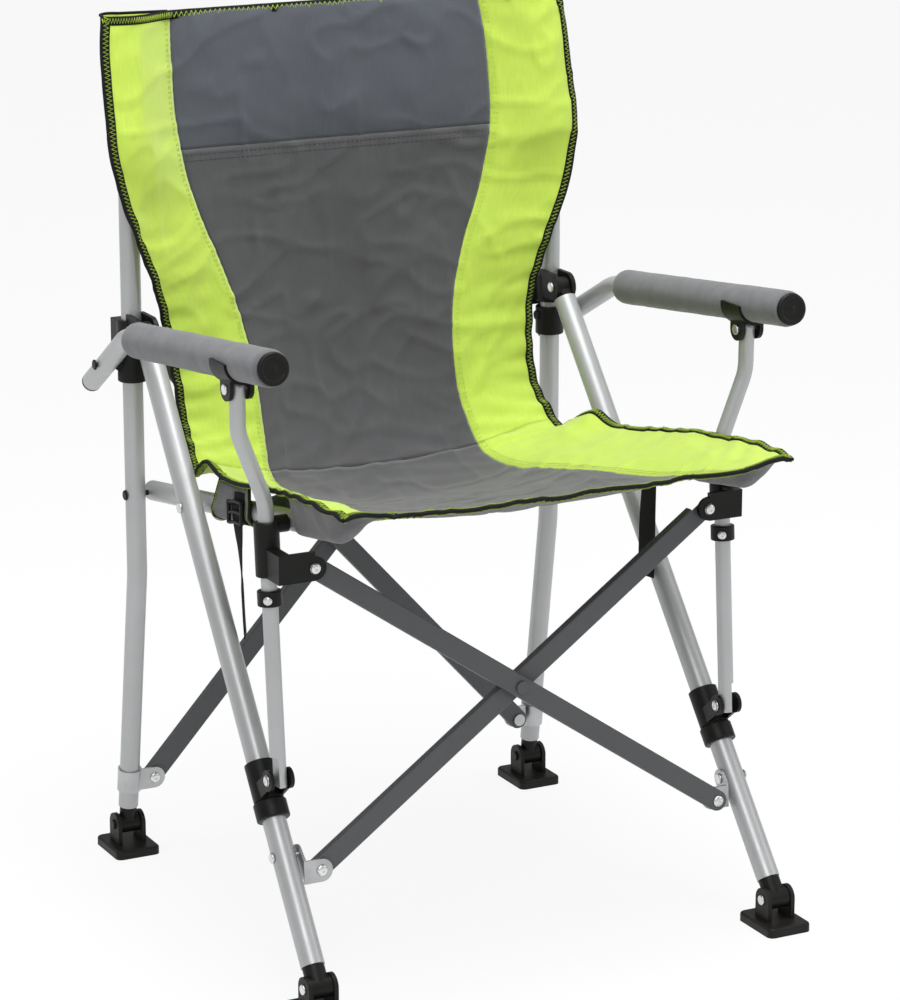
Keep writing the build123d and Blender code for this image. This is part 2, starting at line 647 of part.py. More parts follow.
gap = seam_gap / 150.0
save("sling_head_pad", panel(sling_back[head_from:head_to + 1], -1 + gap, 1 - gap, False, pad_t))
lower = [tuple(a + (b - a) * 0.012 for a, b in zip(sling_back[head_to], sling_back[head_to + 1]))]
lower += sling_back[head_to + 1:]
save("sling_back", panel(lower, -1 + gap, 1 - gap, False, cloth_t))
save("right_sling_wing", panel(sling_back, 1 + gap, 2, False, cloth_t))
save("left_sling_wing", panel(sling_back, 1 + gap, 2, True, cloth_t))
save("sling_seat", panel(sling_seat, -1 + gap, 1 - gap, False, cloth_t))
save("right_sling_side", panel(sling_seat, 1 + gap, 2, False, cloth_t))
save("left_sling_side", panel(sling_seat, 1 + gap, 2, True, cloth_t))

# Webbing straps round the rails
strap_y = -20.0
strap_w = 26.0
strap_t = 1.6
strap_slack = 0.4
strap_tail = 132.0
strap_along = (rail_pivot.Y - strap_y) / -rail_dir.Y
strap_at = rail_pivot + rail_dir * strap_along
strap_r = rail_r + strap_slack
strap = ring(strap_at - rail_dir * strap_w / 2, rail_dir, strap_w, strap_r, strap_r + strap_t)
tail_x = rail_x + strap_r + strap_t * 0.3
tail_y0 = strap_y - strap_w / 2
strap += box(tail_x, tail_x + strap_t, tail_y0, tail_y0 + strap_w, strap_at.Z - strap_tail, strap_at.Z + 3)
both("strap", strap)
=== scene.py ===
import math

import bpy
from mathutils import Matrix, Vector, noise


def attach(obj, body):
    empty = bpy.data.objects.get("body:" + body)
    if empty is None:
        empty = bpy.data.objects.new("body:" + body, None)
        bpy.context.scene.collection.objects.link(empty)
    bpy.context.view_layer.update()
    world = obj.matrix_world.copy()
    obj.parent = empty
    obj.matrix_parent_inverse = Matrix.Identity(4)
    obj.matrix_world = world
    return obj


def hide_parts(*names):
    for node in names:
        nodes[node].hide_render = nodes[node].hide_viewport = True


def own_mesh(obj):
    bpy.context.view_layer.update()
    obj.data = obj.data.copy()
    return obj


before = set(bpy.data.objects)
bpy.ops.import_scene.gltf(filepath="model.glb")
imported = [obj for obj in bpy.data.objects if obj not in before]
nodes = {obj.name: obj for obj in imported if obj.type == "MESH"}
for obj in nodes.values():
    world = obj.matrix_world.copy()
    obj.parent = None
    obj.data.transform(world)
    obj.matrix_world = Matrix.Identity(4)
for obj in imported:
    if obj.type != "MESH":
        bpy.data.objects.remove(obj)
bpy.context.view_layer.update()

MM = 0.001
# Where the drawing's zero lies in the frame along Y, in mm
SHIFT_Y = -6.5
SIDES = (("right", 1), ("left", -1))
X, Y, Z = Vector((1, 0, 0)), Vector((0, 1, 0)), Vector((0, 0, 1))


def at(x, y, z):
    """Point in metres from the millimetres of the drawing."""
    return Vector((x, y + SHIFT_Y, z)) * MM


# Materials
NOISE_ROUGHNESS = 0.55


class Nodes:
    """Short way to build a node tree round one Principled shader."""

    def __init__(self, name, colour, roughness, metallic=0.0, **sockets):
        self.mat = bpy.data.materials.new(name)
        self.mat.use_nodes = True
        self.tree = self.mat.node_tree
        self.shader = self.tree.nodes["Principled BSDF"]
        self.shader.inputs["Base Color"].default_value = (*colour, 1)
        self.shader.inputs["Roughness"].default_value = roughness
        self.shader.inputs["Metallic"].default_value = metallic
        for key, value in sockets.items():
            self.shader.inputs[key.replace("_", " ")].default_value = value
        self.colour = colour
        self.bump = None

    def add(self, kind, **values):
        """New node with its properties and inputs set."""
        node = self.tree.nodes.new(kind)
        for key, value in values.items():
            if hasattr(node, key):
                setattr(node, key, value)
            else:
                node.inputs[key].default_value = value
        return node

    def link(self, a, b):
        """Wire from an output to an input."""
        self.tree.links.new(a, b)

    def coords(self, uv=False, scale=(1, 1, 1)):
        """Scaled coordinates of the object or of its flat map."""
        source = self.add("ShaderNodeTexCoord")
        mapping = self.add("ShaderNodeMapping", Scale=scale)
        self.link(source.outputs["UV" if uv else "Object"], mapping.inputs["Vector"])
        return mapping.outputs["Vector"]

    def noise(self, scale, detail, vector=None):
        """Noise, on the object's own coordinates unless others are given."""
        node = self.add("ShaderNodeTexNoise", Scale=scale, Detail=detail, Roughness=NOISE_ROUGHNESS)
        self.link(vector or self.coords(), node.inputs["Vector"])
        return node.outputs["Fac"]

    def wave(self, scale, direction, vector, distortion):
        """Sine bands across one direction."""
        node = self.add("ShaderNodeTexWave", Scale=scale, Distortion=distortion)
        node.bands_direction = direction
        node.wave_profile = "SIN"
        self.link(vector, node.inputs["Vector"])
        return node.outputs["Fac"]

    def math(self, operation, a, b):
        """Sum, product or the like of two outputs or numbers."""
        node = self.add("ShaderNodeMath", operation=operation)
        for socket, value in zip(node.inputs, (a, b)):
            if isinstance(value, (int, float)):
                socket.default_value = value
            else:
                self.link(value, socket)
        return node.outputs[0]

    def ramp(self, fac, low, high, start, end):
        """Colour that runs from low to high along a texture."""
        node = self.add("ShaderNodeValToRGB")
        node.color_ramp.elements[0].position = start
        node.color_ramp.elements[1].position = end
        node.color_ramp.elements[0].color = (*low, 1)
        node.color_ramp.elements[1].color = (*high, 1)
        self.link(fac, node.inputs["Fac"])
        return node.outputs["Color"]

    def vary(self, fac, spread, start=0.3, end=0.7):
        """Base colour a little darker and lighter along a texture."""
        low = tuple(c * (1 - spread) for c in self.colour)
        high = tuple(min(1, c * (1 + spread)) for c in self.colour)
        self.link(self.ramp(fac, low, high, start, end), self.shader.inputs["Base Color"])
        return self

    def rough(self, fac, low, high):
        """Roughness that runs from low to high along a texture."""
        node = self.add("ShaderNodeMapRange")
        self.link(fac, node.inputs["Value"])
        node.inputs["To Min"].default_value = low
        node.inputs["To Max"].default_value = high
        self.link(node.outputs["Result"], self.shader.inputs["Roughness"])
        return self

    def raised(self, height, distance, strength):
        """Bump that adds to any bump before it."""
        node = self.add("ShaderNodeBump", Strength=strength, Distance=distance)
        self.link(height, node.inputs["Height"])
        if self.bump:
            self.link(self.bump, node.inputs["Normal"])
        self.bump = node.outputs["Normal"]
        self.link(self.bump, self.shader.inputs["Normal"])
        return self


def paint(name, colour, roughness, metallic, grain):
    """Powder coat: fine orange peel and faint clouding."""
    m = Nodes(name, colour, roughness, metallic)
    m.vary(m.noise(9, 5), 0.05).rough(m.noise(60, 3), roughness - 0.06, roughness + 0.08)
    m.raised(m.noise(900, 2), grain, 0.35)
    return m.mat


def plastic(name, colour, roughness):
    """Moulded plastic: spark-eroded grain, slightly greyer where it is rubbed."""
    m = Nodes(name, colour, roughness, Specular_IOR_Level=0.2)
    m.vary(m.noise(35, 6), 0.25).rough(m.noise(120, 4), roughness - 0.08, roughness + 0.12)
    m.raised(m.noise(1500, 2), 0.00012, 0.5)
    return m.mat


def steel(name, colour, roughness):
    """Plated steel with a faint drawn grain."""
    m = Nodes(name, colour, roughness, 0.9)
    m.vary(m.noise(40, 5), 0.12)
    m.rough(m.noise(300, 3, vector=m.coords(scale=(1, 1, 6))), roughness - 0.08, roughness + 0.12)
    m.raised(m.noise(700, 2, vector=m.coords(scale=(1, 1, 8))), 0.00005, 0.4)
    return m.mat


THREADS = 900.0
SLUB_SHARE, CLOUD_SHARE = 0.45, 0.55


def cloth(name, colour, spread, sheen):
    """Coated plain-weave polyester: threads both ways, slubs and faint clouding."""
    m = Nodes(name, colour, 0.72, Sheen_Weight=sheen, Sheen_Roughness=0.4, Specular_IOR_Level=0.3)
    uv = m.coords(uv=True)
    warp = m.wave(THREADS, "X", uv, 0.4)
    weft = m.wave(THREADS, "Y", uv, 0.4)
    weave = m.math("MAXIMUM", warp, weft)
    slub = m.noise(1, 3, vector=m.coords(uv=True, scale=(420, 60, 1)))
    cloud = m.noise(14, 6, vector=uv)
    slub_part = m.math("MULTIPLY", slub, SLUB_SHARE)
    cloud_part = m.math("MULTIPLY", cloud, CLOUD_SHARE)
    m.vary(m.math("ADD", slub_part, cloud_part), spread)
    m.rough(cloud, 0.62, 0.8)
    m.raised(cloud, 0.0012, 0.25)
    m.raised(weave, 0.00022, 0.5)
    return m.mat


def ribbed(name, colour, ribs, roughness=0.8):
    """Woven tape or webbing with ribs across it."""
    m = Nodes(name, colour, roughness, Specular_IOR_Level=0.15)
    uv = m.coords(uv=True)
    rib = m.wave(ribs, "Y", uv, 0.3)
    m.vary(m.math("MULTIPLY", rib, m.noise(300, 3, vector=uv)), 0.35, 0.1, 0.6)
    m.raised(rib, 0.0004, 0.6)
    return m.mat


def foam(name, colour):
    """Fabric-faced foam sleeve: pebbled, matt, a little mottled."""
    m = Nodes(name, colour, 0.88, Sheen_Weight=0.25, Sheen_Roughness=0.5)
    m.vary(m.noise(55, 6), 0.14).rough(m.noise(90, 3), 0.8, 0.95)
    m.raised(m.noise(130, 4), 0.0008, 0.35).raised(m.noise(1100, 2), 0.0003, 0.55)
    return m.mat


MATERIALS = {
    "tube_paint": paint("tube_paint", (0.43, 0.44, 0.445), 0.36, 0.45, 0.00008),
    "bar_paint": paint("bar_paint", (0.072, 0.075, 0.079), 0.48, 0.1, 0.00015),
    "black_plastic": plastic("black_plastic", (0.007, 0.0065, 0.006), 0.40),
    "foot_plastic": plastic("foot_plastic", (0.011, 0.010, 0.009), 0.46),
    "rivet_steel": steel("rivet_steel", (0.72, 0.72, 0.72), 0.26),
    "bracket_steel": steel("bracket_steel", (0.46, 0.47, 0.475), 0.36),
    "sleeve_foam": foam("sleeve_foam", (0.120, 0.123, 0.132)),
    "lime_cloth": cloth("lime_cloth", (0.455, 0.62, 0.075), 0.08, sheen=0.4),
    "grey_cloth": cloth("grey_cloth", (0.066, 0.066, 0.071), 0.12, sheen=0.5),
    "head_cloth": cloth("head_cloth", (0.064, 0.070, 0.084), 0.12, sheen=0.35),
    "webbing": ribbed("webbing", (0.014, 0.014, 0.014), 260.0),
    "tape": ribbed("tape", (0.012, 0.012, 0.012), 380.0),
    "lime_thread": ribbed("lime_thread", (0.42, 0.60, 0.07), 900.0, 0.6),
    "dark_thread": ribbed("dark_thread", (0.05, 0.05, 0.055), 900.0, 0.6),
}

NODE_SLOTS = {
    "upright": "tube_paint", "leg": "tube_paint", "post": "tube_paint", "rail": "tube_paint",
    "arm": "tube_paint", "rear_bar_a": "bar_paint", "rear_bar_b": "bar_paint",
    "front_bar_a": "bar_paint", "front_bar_b": "bar_paint", "rear_bracket": "bracket_steel",
    "front_bracket": "bracket_steel", "upright_rivets": "rivet_steel",
    "leg_rivets": "rivet_steel", "post_rivets": "rivet_steel", "rear_foot": "foot_plastic",
    "front_foot": "foot_plastic",
}
for name, obj in nodes.items():
    key = name.replace("right_", "").replace("left_", "")
    obj.data.materials.clear()
    obj.data.materials.append(MATERIALS[NODE_SLOTS.get(key, "black_plastic")])


# Mesh building


class Shape:
    """Collects vertices, faces and flat coordinates for one mesh."""

    def __init__(self):
        self.verts, self.faces, self.flat = [], [], []

    def point(self, p, uv):
        """Adds a vertex and returns its number."""
        self.verts.append(p)
        self.flat.append(uv)
        return len(self.verts) - 1

    def grid(self, rows, uvs, flip=False, wrap=False):
        """Quads between rows of points; returns the vertex numbers."""
        ids = [[self.point(p, uv) for p, uv in zip(r, f)] for r, f in zip(rows, uvs)]
        for a, b in zip(ids, ids[1:]):
            count = len(a)
            for i in range(count if wrap else count - 1):
                j = (i + 1) % count
                quad = (a[i], a[j], b[j], b[i])
                self.faces.append(quad[::-1] if flip else quad)
        return ids

    def slab(self, front, back, uvs):
        """Closed sheet between a front and a back grid."""
        f = self.grid(front, uvs)
        b = self.grid(back, uvs, flip=True)
        rim_f = f[0] + [r[-1] for r in f[1:-1]] + f[-1][::-1] + [r[0] for r in f[-2:0:-1]]
        rim_b = b[0] + [r[-1] for r in b[1:-1]] + b[-1][::-1] + [r[0] for r in b[-2:0:-1]]
        count = len(rim_f)
        for i in range(count):
            j = (i + 1) % count
            self.faces.append((rim_f[j], rim_f[i], rim_b[i], rim_b[j]))

    def loft(self, loops, caps=True):
        """Skin over closed loops of points."""
        along, uvs, last = 0.0, [], None
        for loop in loops:
            if last is not None:
                along += (loop[0] - last).length
            last = loop[0]
            round_, line = 0.0, []
            for i, p in enumerate(loop):
                line.append((round_, along))
                round_ += (loop[(i + 1) % len(loop)] - p).length
            uvs.append(line)
        ids = self.grid(loops, uvs, wrap=True)
        if caps:
            self.faces.append(tuple(ids[0][::-1]))
            self.faces.append(tuple(ids[-1]))

    def tube(self, points, radius, sides=5):
        """Thin round thread through points."""
        loops = []
        for i, p in enumerate(points):
            d = (points[min(i + 1, len(points) - 1)] - points[max(i - 1, 0)]).normalized()
            side = d.cross(X if abs(d.x) < 0.8 else Z).normalized()
            up = side.cross(d)
            loop = []
            for k in range(sides):
                t = 2 * math.pi * k / sides
                loop.append(p + side * (math.cos(t) * radius) + up * (math.sin(t) * radius))
            loops.append(loop)
        self.loft(loops)

    def object(self, name, material, body):
        """The mesh as a piece that rides a body."""
        mesh = bpy.data.meshes.new(name)
        mesh.from_pydata([tuple(v) for v in self.verts], [], self.faces)
        layer = mesh.uv_layers.new(name="UVMap")
        for loop in mesh.loops:
            layer.data[loop.index].uv = self.flat[loop.vertex_index]
        mesh.polygons.foreach_set("use_smooth", [True] * len(mesh.polygons))
        mesh.materials.append(MATERIALS[material])
        mesh.update()
        obj = bpy.data.objects.new(name, mesh)
        bpy.context.scene.collection.objects.link(obj)
        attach(obj, body)
        return obj


# Sling surface: stations from the top of the back to the front of the seat, in mm
# edge x, edge y, edge z, seam x, seam y, seam z, middle y, middle z
BACK = [
    (274, 250, 943, 184, 276, 941, 284, 940),
    (279, 241, 905, 188, 266, 905, 276, 903),
    (281, 228, 850, 190, 256, 850, 266, 848),
    (281, 215, 795, 187, 246, 795, 258, 793),
    (266, 205, 730, 172, 241, 730, 253, 728),
    (243, 206, 670, 148, 233, 670, 247, 668),
    (226, 212, 610, 130, 224, 610, 239, 608),
    (219, 205, 550, 121, 207, 550, 225, 548),
    (219, 188, 505, 121, 191, 500, 204, 498),
    (222, 160, 482, 126, 166, 460, 176, 452),
]
SEAT = [
    (226, 140, 477, 128, 142, 446, 148, 434),
    (236, 90, 484, 133, 90, 442, 92, 425),
    (240, 35, 489, 142, 35, 452, 35, 434),
    (248, -30, 497, 154, -35, 465, -35, 449),
    (254, -95, 510, 165, -100, 475, -100, 461),
    (256, -165, 520, 180, -170, 487, -170, 474),
    (258, -225, 526, 192, -230, 503, -232, 494),
    (255, -292, 524, 200, -293, 521, -294, 519),
]
HEAD_END = 3.0
CREASE = len(BACK) - 0.6
LAST = len(BACK) + len(SEAT) - 1.0
# Each station also gets the bow of the wing, high on the back, and the crown of the seat's side
BOW, BOW_ABOVE, CROWN = 15.0, 780, 3.0
STATIONS = [row + (BOW if row[2] > BOW_ABOVE else 0.0, 0.0) for row in BACK]
STATIONS += [row + (0.0, CROWN) for row in SEAT]


def station(u):
    """Smooth interpolation of the stations."""
    i = max(0, min(int(u), len(STATIONS) - 2))
    t = u - i
    top = len(STATIONS) - 1
    a, b, c, d = (STATIONS[max(0, min(top, i + k))] for k in (-1, 0, 1, 2))
    values = []
    for p, q, r, s in zip(a, b, c, d):
        bend = t * (2 * p - 5 * q + 4 * r - s + t * (3 * (q - r) + s - p))
        values.append(q + 0.5 * t * (r - p + bend))
    return values


def plain(u, share):
    """Point of the sling without folds: share 0 is the middle, 1 the seam, 2 the edge."""
    ex, ey, ez, sx, sy, sz, my, mz, bow, crown = station(u)
    sign = -1 if share < 0 else 1
    s = abs(share)
    if s <= 1:
        return at(sign * sx * s, my + (sy - my) * s * s, mz + (sz - mz) * s * s)
    t = s - 1
    arch = math.sin(math.pi * min(t, 1) ** 1.3)
    y = sy + (ey - sy) * t - bow * arch
    z = sz + (ez - sz) * t + crown * math.sin(math.pi * min(t, 1))
    return at(sign * (sx + (ex - sx) * t), y, z)


# Distance down the sling along its seam, in even steps of u
STEPS = 340
reach = [0.0]
for i in range(STEPS):
    a, b = plain(LAST * i / STEPS, 1), plain(LAST * (i + 1) / STEPS, 1)
    reach.append(reach[-1] + (b - a).length)


def along(u):
    """Distance down the sling, in metres."""
    k = max(0.0, min(u / LAST * STEPS, STEPS - 1e-6))
    i = int(k)
    return reach[i] + (reach[i + 1] - reach[i]) * (k - i)


def spaced(start, end, step):
    """Values of u from start to end, about step metres apart."""
    a, b = along(start), along(end)
    count = max(2, round((b - a) / step))
    wanted = [a + (b - a) * i / count for i in range(count + 1)]
    values, i = [], 0
    for w in wanted:
        while i < STEPS - 1 and reach[i + 1] < w:
            i += 1
        values.append((i + (w - reach[i]) / (reach[i + 1] - reach[i])) * LAST / STEPS)
    values[0], values[-1] = start, end
    return values


def normal(u, share):
    """Direction towards the sitter."""
    h = 0.02
    du = plain(min(u + h, LAST), share) - plain(max(u - h, 0), share)
    ds = plain(u, share + h) - plain(u, share - h)
    n = du.cross(ds).normalized()
    return n if n.z - n.y > 0 else -n


def bell(distance, width):
    """Bell curve: one at no distance, about a third at the width."""
    return math.exp(-((distance / width) ** 2))


# Folds of the cloth, in metres: where they gather, how far they reach, their pitch and height
CREASE_AT, CREASE_REACH, CREASE_PITCH, CREASE_FOLD = along(CREASE), 0.05, 0.026, 0.0016
WAIST_AT, WAIST_REACH, WAIST_PITCH, WAIST_FOLD = along(6.5), 0.15, 0.031, 0.0013
FRONT_AT, FRONT_REACH, FRONT_PITCH, FRONT_FOLD = along(LAST - 0.8), 0.09, 0.04, 0.0013
SEAM_SINK, SEAM_REACH, PUCKER_PITCH, PUCKER = 0.0009, 0.005, 0.011, 0.00035
BROAD, SHARP, DENTS, FINE = 0.0020, 0.0017, 0.0015, 0.0003


def wrinkle(u, share):
    """Height of the folds and puckers of the cloth, in metres."""
    p, s = plain(u, share), along(u)
    x = p.x
    warp = noise.noise(Vector((x * 9, s * 9, 4.2))) * 0.9
    broad = noise.noise(Vector((x * 13, s * 8, 3.1)))
    slant = noise.noise(Vector((x * 24 + s * 9 + warp, s * 11 - x * 6 + warp, 7.7)))
    crossing = noise.noise(Vector((x * 11 - s * 14, s * 22 + x * 9 + warp, 12.3)))
    sharp = max(0.0, 1 - 3.0 * abs(slant)) ** 2 + max(0.0, 1 - 3.4 * abs(crossing)) ** 2
    fine = noise.noise(Vector((x * 75, s * 60, 1.3)))
    outer = max(0.0, abs(share) - 1)
    dents = noise.noise(Vector((x * 17 + warp, s * 15 - warp, 27.0)))
    height = BROAD * broad + SHARP * sharp + DENTS * dents * abs(dents) + FINE * fine
    lateral = abs(abs(x) - station(u)[3] * MM)
    wave = math.sin(2 * math.pi * s / WAIST_PITCH + 2.5 * warp)
    height += WAIST_FOLD * wave * outer * bell(s - WAIST_AT, WAIST_REACH)
    pulled = math.sin(2 * math.pi * (s - 0.35 * abs(x)) / CREASE_PITCH + 3 * warp)
    outward = 0.35 + 0.65 * min(1, outer * 2)
    height += CREASE_FOLD * pulled * bell(s - CREASE_AT, CREASE_REACH) * outward
    front = bell(s - FRONT_AT, FRONT_REACH) * min(1, outer * 1.5)
    height += FRONT_FOLD * math.sin(2 * math.pi * (s + 0.8 * abs(x)) / FRONT_PITCH + warp) * front
    pucker = math.sin(2 * math.pi * s / PUCKER_PITCH + 4 * warp)
    height += (PUCKER * pucker - SEAM_SINK) * bell(lateral, SEAM_REACH)
    return height


# The free edge dips behind the crease and stands up in a soft corner in front of it
DIP_AT, DIP_REACH, DIP = along(10.0), 0.022, 0.0110
TIP_AT, TIP_REACH, TIP = along(11.2), 0.024, 0.0095


def corner(u, share):
    """Rise of the free edge beside the crease, in metres."""
    s, outer = along(u), max(0.0, abs(share) - 1) ** 2
    return outer * (TIP * bell(s - TIP_AT, TIP_REACH) - DIP * bell(s - DIP_AT, DIP_REACH))


def surface(u, share, lift=0.0):
    """Point of the folded sling, or above it by the lift."""
    return plain(u, share) + normal(u, share) * (wrinkle(u, share) + lift) + Z * corner(u, share)


CLOTH_T, CLOTH_STEP = 0.0014, 0.0045


def strip(u_list, shares):
    """Front points, back points and flat coordinates of a piece of the sling."""
    front, back, uvs = [], [], []
    for u in u_list:
        f, b, line, x = [], [], [], 0.0
        for k, share in enumerate(shares):
            p, n = surface(u, share), normal(u, share)
            if k:
                x += (p - f[-1]).length
            f.append(p)
            b.append(p - n * CLOTH_T)
            line.append((x, along(u)))
        front.append(f)
        back.append(b)
        uvs.append(line)
    return front, back, uvs


def spread(low, high, count):
    """Even values from low to high."""
    return [low + (high - low) * i / count for i in range(count + 1)]


def soft(obj):
    """Gives a piece its own copy of its mesh."""
    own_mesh(obj)
    return obj


def cloth_panel(name, material, node, u_range, shares, body):
    """One cut piece of the sling as a thin closed sheet."""
    front, back, uvs = strip(spaced(*u_range, CLOTH_STEP), shares)
    shape = Shape()
    shape.slab(front, back, uvs)
    obj = shape.object(name, material, body)
    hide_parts(node)
    return soft(obj)


MIDDLE = spread(-1, 1, 84)
cloth_panel("back_panel", "grey_cloth", "sling_back", (HEAD_END, CREASE), MIDDLE,
            "left_frame")
cloth_panel("seat_panel", "grey_cloth", "sling_seat", (CREASE, LAST), MIDDLE,
            "left_rail")
for side, sign in SIDES:
    shares = spread(1, 2, 26) if sign > 0 else spread(-2, -1, 26)
    cloth_panel(side + "_back_wing", "lime_cloth", side + "_sling_wing", (0, CREASE), shares,
                "left_frame")
    cloth_panel(side + "_seat_side", "lime_cloth", side + "_sling_side", (CREASE, LAST), shares,
                "left_rail")

# Head cushion: a crowned pad between two seams, sewn flat along its rim
PAD_SWELL, PAD_SOFT, PAD_DENT = 0.0042, 0.0016, 0.0010
PAD_BEHIND, DENT_BEHIND = 0.0060, 0.0012
front, back, uvs = [], [], []
for u in spaced(0, HEAD_END, 0.004):
    f, b, line = [], [], []
    down = min(1.0, u / HEAD_END)
    for share in spread(-1, 1, 90):
        n = normal(u, share)
        rim = (1 - abs(share) ** 7) * (1 - abs(2 * down - 1) ** 5)
        p = plain(u, share)
        rest = wrinkle(u, share)
        soft_fold = noise.noise(Vector((p.x * 10, p.z * 16, 21.0)))
        dent = noise.noise(Vector((p.x * 26 + p.z * 8, p.z * 20, 33.0)))
        swell = rim * (PAD_SWELL + PAD_SOFT * soft_fold + PAD_DENT * dent)
        f.append(p + n * (rest + swell))
        b.append(p + n * (rest - CLOTH_T - rim * (PAD_BEHIND + DENT_BEHIND * dent)))
        line.append((p.x, along(u)))
    front.append(f)
    back.append(b)
    uvs.append(line)
shape = Shape()
shape.slab(front, back, uvs)
head = shape.object("head_cushion", "head_cloth", "left_frame")
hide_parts("sling_head_pad")
soft(head)



# Sleeves at the top of the back that the uprights slide into, seen from behind
TOP_U, TOP_STEP, TOP_R = (0.02, 2.35), 0.006, 0.0135
TOP_OUTER, TOP_INNER, TOP_LIFT = 1.985, 1.03, -0.002
TOP_T, TOP_RIPPLE, TOP_UV = 0.001, 0.0008, 0.01
TOP_HEM_R, TOP_HEM_UP = 0.0017, 0.0006
UPRIGHT_X, UPRIGHT_Y, BEND_Z, UPRIGHT_LEAN = 256, 230.0, 800, 0.229
for side, sign in SIDES:
    rows, backs, uvs = [], [], []
    for u in spaced(*TOP_U, TOP_STEP):
        outer = surface(u, sign * TOP_OUTER, TOP_LIFT)
        inner = surface(u, sign * TOP_INNER, TOP_LIFT)
        frame_y = UPRIGHT_Y + max(0.0, outer.z / MM - BEND_Z) * UPRIGHT_LEAN
        centre = at(sign * UPRIGHT_X, frame_y, outer.z / MM)
        turns = [0.15 + 0.25 * k for k in range(10)]
        arc = [centre + Vector((sign * math.cos(t), math.sin(t), 0)) * TOP_R for t in turns]
        path = [outer, outer.lerp(arc[0], 0.5)] + arc
        path += [arc[-1].lerp(inner, k / 6) for k in range(1, 7)]
        ripple = [TOP_RIPPLE * noise.noise(p * 40) for p in path]
        rows.append([p + Y * r for p, r in zip(path, ripple)])
        backs.append([p + Y * (r - TOP_T) for p, r in zip(path, ripple)])
        uvs.append([(TOP_UV * k, along(u)) for k in range(len(path))])
    shape = Shape()
    shape.slab(rows, backs, uvs)
    sleeve = shape.object(side + "_top_sleeve", "lime_cloth", "left_frame")
    soft(sleeve)
    rim = Shape()
    rim.tube([p + Z * TOP_HEM_UP for p in rows[0]], TOP_HEM_R, 8)
    soft(rim.object(side + "_top_hem", "tape", "left_frame"))

# Edge binding: folded tape with a zigzag seam on both faces
TAPE_W, TAPE_STEP = 0.0088, 0.006
TAPE_SECTION = ((TAPE_W, 0.0008), (TAPE_W * 0.5, 0.0013), (0.0012, 0.0013), (-0.0010, 0.0002),
                (-0.0010, -0.0018), (0.0012, -0.0028), (TAPE_W * 0.5, -0.0028), (TAPE_W, -0.0023))
ZIG_IN, ZIG_OUT, ZIG_R, ZIG_STEP = 0.0070, 0.0018, 0.00072, 0.0022
ZIG_FACES = (0.0016, -0.0031)
INWARD, FROM_TOP, FROM_FRONT = (0, -0.06), (0.12, 0), (-0.12, 0)
TOP_WIDTH, FRONT_WIDTH = 0.56, 0.53


def edge_frames(u_share, inward):
    """Point, inward direction and face normal along an edge of the sling."""
    frames = []
    for u, share in u_share:
        du, ds = inward
        p = surface(u, share)
        q = surface(min(max(u + du, 0), LAST), share + ds * (1 if share > 0 else -1))
        frames.append((p, (q - p).normalized(), normal(u, share)))
    return frames


def tape_loops(frames):
    """Sections of the folded tape along an edge."""
    return [[p + i * a + n * b for a, b in TAPE_SECTION] for p, i, n in frames]


def zigzag(frames, lift):
    """Thread that goes to and fro across the tape."""
    points = []
    for k, (p, i, n) in enumerate(frames):
        points.append(p + i * (ZIG_IN if k % 2 else ZIG_OUT) + n * lift)
    return points


def binding(name, edges, body):
    """Tape and lime zigzag along some edges of the sling."""
    tape, thread = Shape(), Shape()
    for path, inward in edges:
        tape.loft(tape_loops(edge_frames(path(TAPE_STEP), inward)))
        stitched = edge_frames(path(ZIG_STEP), inward)
        for lift in ZIG_FACES:
            thread.tube(zigzag(stitched, lift), ZIG_R)
    soft(tape.object(name + "_binding", "tape", body))
    soft(thread.object(name + "_zigzag", "lime_thread", body))


def down_edge(start, end, share):
    """Points of an edge down the sling, for a given step."""
    return lambda step: [(u, share) for u in spaced(start, end, step)]


def cross_edge(u, width):
    """Points of an edge across the sling, for a given step."""
    return lambda step: [(u, s) for s in spread(-2, 2, round(width / step))]


back_edges = [(down_edge(0, CREASE, share), INWARD) for share in (2, -2)]
back_edges.append((cross_edge(0, TOP_WIDTH), FROM_TOP))
binding("back", back_edges, "left_frame")
seat_edges = [(down_edge(CREASE, LAST, share), INWARD) for share in (2, -2)]
seat_edges.append((cross_edge(LAST, FRONT_WIDTH), FROM_FRONT))
binding("seat", seat_edges, "left_rail")

# Running stitches beside the seams
STITCH, STITCH_R, STITCH_UP = 0.0028, 0.0003, 0.0003
BACK_SEAM, SEAT_SEAM, HEAD_SEAM = (0.05, CREASE), (CREASE, LAST - 0.1), (-0.98, 0.98)


def running(shape, path):
    """Stitches over every second step of a path."""
    for k in range(0, len(path) - 1, 2):
        shape.tube([path[k], path[k + 1]], STITCH_R, 4)


back_seams, seat_seams, head_seams = Shape(), Shape(), Shape()
for sign in (1, -1):
    for gap in (0.045, 0.075):
        for seams, ends in ((back_seams, BACK_SEAM), (seat_seams, SEAT_SEAM)):
            running(seams, [surface(u, sign * (1 + gap), STITCH_UP) for u in spaced(*ends, STITCH)])
for drop in (0.10, 0.20):
    running(head_seams, [surface(HEAD_END + drop, s, STITCH_UP) for s in spread(*HEAD_SEAM, 130)])
soft(head_seams.object("head_seam_stitches", "dark_thread", "left_frame"))
soft(back_seams.object("back_seam_stitches", "lime_thread", "left_frame"))
soft(seat_seams.object("seat_seam_stitches", "lime_thread", "left_rail"))

